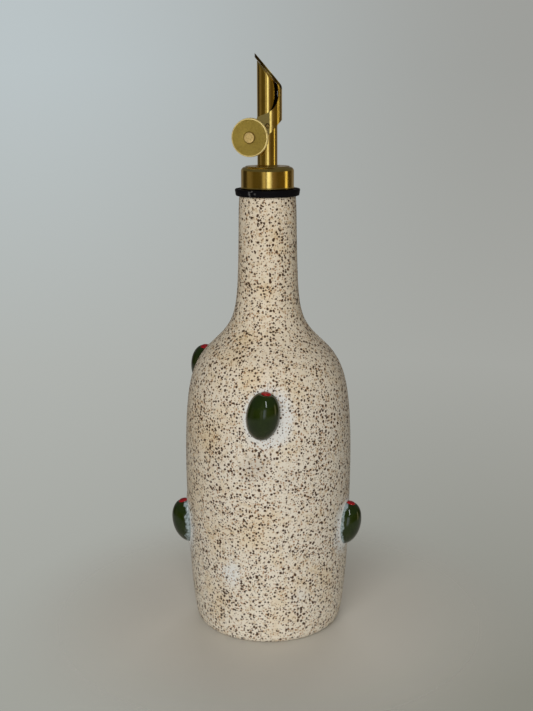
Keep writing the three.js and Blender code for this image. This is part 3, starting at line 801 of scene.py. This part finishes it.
# The flap
# One bent brass sheet that covers the tube's slanting mouth, wraps the back of the tube and swings
# on the studs. Its two satin ears reach past the tube and carry the weights. The side that faces
# the tube is coloured near black as painted shade, and the cover's edge is painted darker as shade.
FLAP_BACK_CENTRE = 1.2 * MM
FLAP_FRONT_CENTRE = -0.1 * MM
FLAP_INSIDE = 5.4 * MM
EAR_TOP = 254 * MM
SHADED_INSIDE_TOP = 268 * MM
EASED_EDGE = 0.12 * MM
SHARP_ANGLE = math.radians(50)
SHEET_POLISH = (0.13, 0.26)
SHEET_STROKE = (0.4, 0.4, 0.4)
EAR_SATIN = (0.34, 0.26, 0.085, 1)
EAR_ROUGH = (0.42, 0.42, 0.42, 1)
# Painted shade: the darker colour and roughness of the band along the cover's edge
SHADED_COVER_EDGE = (0.125, 0.085, 0.018, 1)
SHADED_COVER_EDGE_ROUGH = (0.38, 0.38, 0.38, 1)
# Painted shade: the near-black colour and roughness laid on the inside of the wrap that faces the tube
SHADED_INSIDE = (0.035, 0.022, 0.008, 1)
SHADED_INSIDE_ROUGH = (0.6, 0.6, 0.6, 1)
flap = frame["nodes"]["flap"]


def sheet_brass():
    """Polished sheet with satin ears, a cover edge painted darker as shade, and painted shade on the side
    that faces the tube.
    """
    material = polished_brass("sheet_brass", SHEET_POLISH, SHEET_STROKE)
    tree = material.node_tree
    shader = tree.nodes["Principled BSDF"]
    place = add_node(tree, "TexCoord", {}).outputs["Object"]
    parts = add_node(tree, "SeparateXYZ", {"Vector": place})
    x, y, z = (parts.outputs[axis] for axis in "XYZ")
    behind = maths(tree, "MAXIMUM", maths(tree, "SUBTRACT", x, FLAP_BACK_CENTRE), 0.0)
    before = maths(tree, "MINIMUM", maths(tree, "SUBTRACT", x, FLAP_FRONT_CENTRE), 0.0)
    around = add_node(tree, "CombineXYZ", {"X": maths(tree, "ADD", behind, before), "Y": y})
    sheet_radius = add_node(tree, "VectorMath", {0: around.outputs[0]}, operation="LENGTH")
    inside_limits = (FLAP_INSIDE - 0.05 * MM, FLAP_INSIDE + 0.05 * MM)
    inside = ramp(tree, sheet_radius.outputs["Value"], *inside_limits, 1.0, 0.0)
    depth = add_node(tree, "VectorMath", {0: place, 1: slant_up}, operation="DOT_PRODUCT")
    depth = depth.outputs["Value"]
    covered = ramp(tree, depth, slant_top - 0.6 * COVER, slant_top - 0.5 * COVER, 1.0, 0.0)
    # Painted shade: the inside of the wrap, under the cover and below a set height, is coloured near black
    low_down = ramp(tree, z, SHADED_INSIDE_TOP - 1.2 * MM, SHADED_INSIDE_TOP + 1.2 * MM, 1.0, 0.0)
    shaded_inside = maths(tree, "MULTIPLY", maths(tree, "MULTIPLY", inside, covered), low_down)
    forward = ramp(tree, x, FLAP_BACK_CENTRE - 0.3 * MM, FLAP_BACK_CENTRE, 1.0, 0.0)
    ear = maths(tree, "MULTIPLY", forward, ramp(tree, z, EAR_TOP, EAR_TOP + 0.6 * MM, 1.0, 0.0))
    # Painted shade: a band along the cover's edge, over the mouth, is coloured darker
    over_mouth = ramp(tree, depth, slant_top - COVER, slant_top - 0.9 * COVER)
    under_face = ramp(tree, depth, slant_top - 0.12 * COVER, slant_top - 0.02 * COVER, 1.0, 0.0)
    edge = maths(tree, "MULTIPLY", over_mouth, under_face)
    coats = (
        ("Base Color", EAR_SATIN, SHADED_COVER_EDGE, SHADED_INSIDE),
        ("Roughness", EAR_ROUGH, SHADED_COVER_EDGE_ROUGH, SHADED_INSIDE_ROUGH),
    )
    # Over the polished brass go the satin ears, then the painted shade of the cover's edge and of the
    # inside
    for socket, satin, painted_light_mark, dull in coats:
        source = shader.inputs[socket].links[0].from_socket
        source = washed(tree, ear, source, satin)
        source = washed(tree, edge, source, painted_light_mark)
        tree.links.new(washed(tree, shaded_inside, source, dull), shader.inputs[socket])
    return material


flap.data.materials.clear()
flap.data.materials.append(sheet_brass())
edges = flap.modifiers.new("eased_edges", "BEVEL")
edges.width = EASED_EDGE
edges.segments = 2
edges.limit_method = "ANGLE"
edges.angle_limit = SHARP_ANGLE

# The weights
# Two bevelled brass discs, one on each ear, whose weight tips the flap shut when the bottle stands up.
# A flat-headed rivet of paler brass through the middle holds each one. The bevelled rim and back
# of each disc are coloured brighter, a painted highlight.
WEIGHT_RADIUS = 8.9 * MM
WEIGHT_THICKNESS = 1.8 * MM
WEIGHT_BEVEL = 0.6 * MM
WEIGHT_BACK_ROUND = 0.3 * MM
WEIGHT_SIDES = 128
GROOVE_RADIUS = 2.85 * MM
GROOVE_DEPTH = 0.3 * MM
RIVET_RADIUS = 2.45 * MM
RIVET_RISE = 0.7 * MM
RIVET_ROUND = 0.4 * MM
RIVET_SIDES = 64
SHANK_RADIUS = 1.5 * MM
SHUT_HEAD = 0.5 * MM
SHEET = 0.7 * MM
FIT_GAP = 0.05 * MM
TOE_IN = math.radians(16)
SEAT_X = -7.9 * MM
SEAT_Y = 4.76 * MM
SEAT_HEIGHT = 242.4 * MM
DISC_BRASS = (0.62, 0.47, 0.10, 1)
# Painted highlight: the bright colour of each disc's bevelled rim and back
RIM_PAINTED_HIGHLIGHT = (1.0, 0.82, 0.35, 1)
RIVET_PALE = (1.0, 0.75, 0.31, 1)
LACQUER_SATIN = (0.34, 0.46)
DIMPLES = 0.35
weight_top = FIT_GAP + WEIGHT_THICKNESS
hole = SHANK_RADIUS + FIT_GAP
face_radius = WEIGHT_RADIUS - WEIGHT_BEVEL
back_middle = FIT_GAP + WEIGHT_BACK_ROUND
rim_profile = [(hole, FIT_GAP), (face_radius, FIT_GAP)]
rim_profile += arc(WEIGHT_RADIUS - WEIGHT_BACK_ROUND, back_middle, WEIGHT_BACK_ROUND, -90, 0, 6)
rim_profile += arc(face_radius, weight_top - WEIGHT_BEVEL, WEIGHT_BEVEL, 0, 90, 10)
weight_profile = rim_profile + [
    (face_radius - 0.1 * MM, weight_top),
    (GROOVE_RADIUS + 0.12 * MM, weight_top),
    (GROOVE_RADIUS, weight_top - 0.02 * MM),
    (GROOVE_RADIUS - 0.05 * MM, weight_top - GROOVE_DEPTH),
    (hole, weight_top - GROOVE_DEPTH),
]
head_foot = weight_top + FIT_GAP
head_top = head_foot + RIVET_RISE
shut_top = -SHEET - FIT_GAP
shut_radius = RIVET_RADIUS - 0.4 * MM
rivet_profile = [
    (0.5 * MM, shut_top - SHUT_HEAD),
    (shut_radius - 0.15 * MM, shut_top - SHUT_HEAD),
    (shut_radius, shut_top - 0.7 * SHUT_HEAD),
    (shut_radius, shut_top),
    (SHANK_RADIUS, shut_top),
    (SHANK_RADIUS, head_foot),
    (RIVET_RADIUS, head_foot),
    (RIVET_RADIUS, head_foot + 0.4 * RIVET_RISE),
]
rivet_profile += arc(RIVET_RADIUS - RIVET_ROUND, head_top - RIVET_ROUND, RIVET_ROUND, 20, 80, 6)
rivet_profile += [(0.4 * RIVET_RADIUS, head_top)]


def satin_brass(name, base, metal):
    """Brushed and finely dimpled brass under a dull lacquer."""
    material = polished_brass(name, LACQUER_SATIN, EVEN_STROKE, base)
    tree = material.node_tree
    shader = tree.nodes["Principled BSDF"]
    shader.inputs["Metallic"].default_value = metal
    place = add_node(tree, "TexCoord", {}).outputs["Object"]
    dimpled = clouded(tree, place, 0.8 * MM, 0.0, DIMPLES, spread=(0.42, 0.68), detail=2.0)
    colour = shader.inputs["Base Color"].links[0].from_socket
    tree.links.new(washed(tree, dimpled, colour, BRASS_TARNISH), shader.inputs["Base Color"])
    return material


brushed_brass = satin_brass("brushed_brass", DISC_BRASS, metal=0.78)
rim_brass_painted_highlight = satin_brass("rim_brass_painted_highlight", RIM_PAINTED_HIGHLIGHT, metal=0.4)
rivet_brass = satin_brass("rivet_brass", RIVET_PALE, metal=0.66)
rim_faces = (len(rim_profile) - 1) * WEIGHT_SIDES
for name, side in (("front", -1), ("back", 1)):
    seat = Vector((SEAT_X, side * SEAT_Y, SEAT_HEIGHT))
    outward = Vector((-math.sin(TOE_IN), side * math.cos(TOE_IN), 0))
    weight = turned_piece("brass_weight_" + name, weight_profile, WEIGHT_SIDES)
    rivet = turned_piece("brass_rivet_" + name, rivet_profile, RIVET_SIDES)
    for piece, node in ((weight, "weight_" + name), (rivet, "weight_rivet_" + name)):
        laid(piece, seat, outward)
        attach(piece, "flap_body")
        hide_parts(node)
    weight.data.materials.append(brushed_brass)
    # The rim and back of each disc take the bright colour, a painted highlight
    weight.data.materials.append(rim_brass_painted_highlight)
    for face in weight.data.polygons[:rim_faces]:
        face.material_index = 1
    rivet.data.materials.append(rivet_brass)

# The table, the light and the camera
# A pale table that fades into a pale backdrop, and soft lights in front, low at the right and behind.
# A tall window shines on the olives alone, and a dim room with bright openings shows in the brass.
FLOOR_REACH = 1.6
FLOOR_PALE = (0.63, 0.61, 0.55, 1)
FLOOR_CLOUD = (0.66, 0.66, 0.62, 1)
FLOOR_CLOUD_SIZE = 60 * MM
FADE_FROM = 0.045
FADE_TO = 0.15
floor_corners = [(-1, -1, 0), (1, -1, 0), (1, 1, 0), (-1, 1, 0)]
floor_corners = [Vector(corner) * FLOOR_REACH for corner in floor_corners]
floor = new_piece("pale_table", floor_corners, [(0, 1, 2, 3)])


def pale_table():
    """Pale matt board that fades away into the backdrop with distance."""
    material, tree, shader, place = new_finish("pale_board")
    clouds = clouded(tree, place, FLOOR_CLOUD_SIZE, start=0.0, end=0.12)
    tree.links.new(washed(tree, clouds, FLOOR_PALE, FLOOR_CLOUD), shader.inputs["Base Color"])
    shader.inputs["Roughness"].default_value = 0.7
    away = add_node(tree, "VectorMath", {0: place}, operation="LENGTH").outputs["Value"]
    solid = ramp(tree, away, FADE_FROM, FADE_TO, 1.0, 0.0)
    clear = add_node(tree, "BsdfTransparent", {})
    mix = add_node(tree, "MixShader", {0: solid, 1: clear.outputs[0], 2: shader.outputs[0]})
    tree.links.new(mix.outputs[0], tree.nodes["Material Output"].inputs["Surface"])
    return material


floor.data.materials.append(pale_table())

# Colours of the backdrop at its foot, its middle and its top, by the height of the line of sight.
# Its change from a bright top at the left to a darker right and foot is painted light.
BACKDROP_LEFT = [
    (-0.50, (0.36, 0.365, 0.33)),
    (-0.235, (0.435, 0.452, 0.43)),
    (0.03, (0.495, 0.55, 0.565)),
]
BACKDROP_RIGHT = [
    (-0.50, (0.255, 0.252, 0.215)),
    (-0.235, (0.376, 0.381, 0.356)),
    (0.03, (0.34, 0.345, 0.326)),
]
BACKDROP_BLEND = 0.25

# What stands round the object, by degrees to the right of the camera's side
ROOM = [
    (-180, (0.22, 0.21, 0.20)),
    (-140, (0.20, 0.18, 0.17)),
    (-124, (0.03, 0.025, 0.015)),
    (-104, (0.04, 0.03, 0.02)),
    (-96, (0.18, 0.15, 0.10)),
    (-78, (0.16, 0.13, 0.09)),
    (-62, (0.08, 0.06, 0.02)),
    (-26, (0.09, 0.07, 0.03)),
    (-17, (0.5, 0.45, 0.35)),
    (-12, (0.5, 0.45, 0.35)),
    (-4, (0.16, 0.12, 0.06)),
    (0, (1.35, 1.45, 1.75)),
    (8, (1.3, 1.35, 1.5)),
    (20, (0.2, 0.15, 0.1)),
    (45, (0.085, 0.06, 0.02)),
    (80, (0.11, 0.075, 0.02)),
    (86, (1.1, 0.95, 0.5)),
    (93, (1.1, 0.95, 0.5)),
    (99, (0.06, 0.04, 0.015)),
    (122, (0.05, 0.035, 0.02)),
    (140, (0.20, 0.18, 0.17)),
    (180, (0.22, 0.21, 0.20)),
]

# The room shows in gloss between its foot and its top, given as heights of the line of sight
ROOM_TOP = (0.12, 0.3)
ROOM_FOOT = (-0.34, -0.14)
TOP_IN_GLOSS = (0.09, 0.09, 0.09, 1)
TABLE_IN_GLOSS = (0.3, 0.29, 0.26, 1)
UNDER_LIGHT = (0.04, 0.035, 0.025, 1)
SIDE_LIGHT = (0.24, 0.215, 0.17, 1)
TOP_LIGHT = (0.09, 0.09, 0.09, 1)
UNDER_TO_SIDE = (-0.5, 0.0)
SIDE_TO_TOP = (0.0, 0.7)


def colour_band(tree, value, stops):
    """Colours that pass into each other along a value, from the first stop to the last."""
    first, last = stops[0][0], stops[-1][0]
    share = add_node(tree, "MapRange", {"Value": value, "From Min": first, "From Max": last}).outputs[0]
    band = add_node(tree, "ValToRGB", {"Fac": share})
    marks = band.color_ramp.elements
    marks.remove(marks[1])
    marks[0].color = (*stops[0][1], 1)
    for level, colour in stops[1:]:
        mark = marks.new((level - first) / (last - first))
        mark.color = (*colour, 1)
    return band.outputs["Color"]


def studio_world():
    """Pale backdrop for the camera, dim light all round, and a room with openings for reflections."""
    world = bpy.data.worlds.new("studio")
    world.use_nodes = True
    tree = world.node_tree
    way = add_node(tree, "TexCoord", {}).outputs["Generated"]
    parts = add_node(tree, "SeparateXYZ", {"Vector": way})
    x, y, z = (parts.outputs[axis] for axis in "XYZ")
    left = colour_band(tree, z, BACKDROP_LEFT)
    right = colour_band(tree, z, BACKDROP_RIGHT)
    backdrop = washed(tree, ramp(tree, x, -BACKDROP_BLEND, BACKDROP_BLEND), left, right)
    turn = maths(tree, "ARCTAN2", x, maths(tree, "MULTIPLY", y, -1.0))
    room = colour_band(tree, turn, [(math.radians(degrees), colour) for degrees, colour in ROOM])
    gloss = washed(tree, ramp(tree, z, *ROOM_TOP), room, TOP_IN_GLOSS)
    gloss = washed(tree, ramp(tree, z, *ROOM_FOOT, 1.0, 0.0), gloss, TABLE_IN_GLOSS)
    light = washed(tree, ramp(tree, z, *UNDER_TO_SIDE), UNDER_LIGHT, SIDE_LIGHT)
    light = washed(tree, ramp(tree, z, *SIDE_TO_TOP), light, TOP_LIGHT)
    path = add_node(tree, "LightPath", {})
    surround = washed(tree, path.outputs["Is Glossy Ray"], light, gloss)
    colour = washed(tree, path.outputs["Is Camera Ray"], surround, backdrop)
    tree.links.new(colour, tree.nodes["Background"].inputs["Color"])
    tree.nodes["Background"].inputs["Strength"].default_value = 1.0
    return world


bpy.context.scene.world = studio_world()

MIDDLE = (0, 0, 0.12)


def soft_light(name, place, size, power, colour, aim=MIDDLE, in_gloss=False):
    """A soft light that looks at a point, and shows in glossy surfaces only where asked."""
    data = bpy.data.lights.new(name, "AREA")
    data.shape = "RECTANGLE"
    data.size, data.size_y = size
    data.energy = power
    data.color = colour
    lamp = bpy.data.objects.new(name, data)
    lamp.location = place
    lamp.rotation_euler = (Vector(aim) - Vector(place)).to_track_quat("-Z", "Y").to_euler()
    lamp.visible_glossy = in_gloss
    bpy.context.scene.collection.objects.link(lamp)
    return lamp


soft_light(
    "large_soft_light", place=(-0.19, -1.05, 0.47), size=(0.85, 0.85), power=11.6, colour=(1.0, 0.97, 0.94)
)
soft_light(
    "low_side_light", place=(0.6, -0.42, 0.05), size=(0.25, 0.25), power=0.42, colour=(1.0, 0.97, 0.92),
    aim=(0, 0, 0.06),
)
soft_light(
    "back_soft_light", place=(0.15, 1.3, 0.5), size=(0.9, 0.9), power=8, colour=(1.0, 0.98, 0.96)
)
window = soft_light(
    "tall_window", place=(0.46, -1.5, 1.3), size=(0.14, 1.2), power=7.5, colour=(0.93, 0.98, 1.0),
    in_gloss=True,
)
in_window_light = bpy.data.collections.new("in_window_light")
for name in OLIVES:
    in_window_light.objects.link(bpy.data.objects["glazed_" + name])
window.light_linking.receiver_collection = in_window_light

IMAGE_HEIGHT = 711
FOCAL_PIXELS = 1068
SENSOR = 36
CAMERA_PLACE = (-0.00075, -0.51263, 0.25895)
CAMERA_PITCH = math.radians(76.6)
CAMERA_ROLL = math.radians(-0.19)
camera = bpy.data.cameras.new("camera")
camera.sensor_width = SENSOR
camera.lens = FOCAL_PIXELS * SENSOR / IMAGE_HEIGHT
eye = bpy.data.objects.new("camera", camera)
eye.location = CAMERA_PLACE
pitched = Matrix.Rotation(CAMERA_PITCH, 3, "X")
eye.rotation_euler = (pitched @ Matrix.Rotation(CAMERA_ROLL, 3, "Z")).to_euler()
bpy.context.scene.collection.objects.link(eye)
bpy.context.scene.camera = eye
bpy.context.scene.view_settings.view_transform = "Standard"
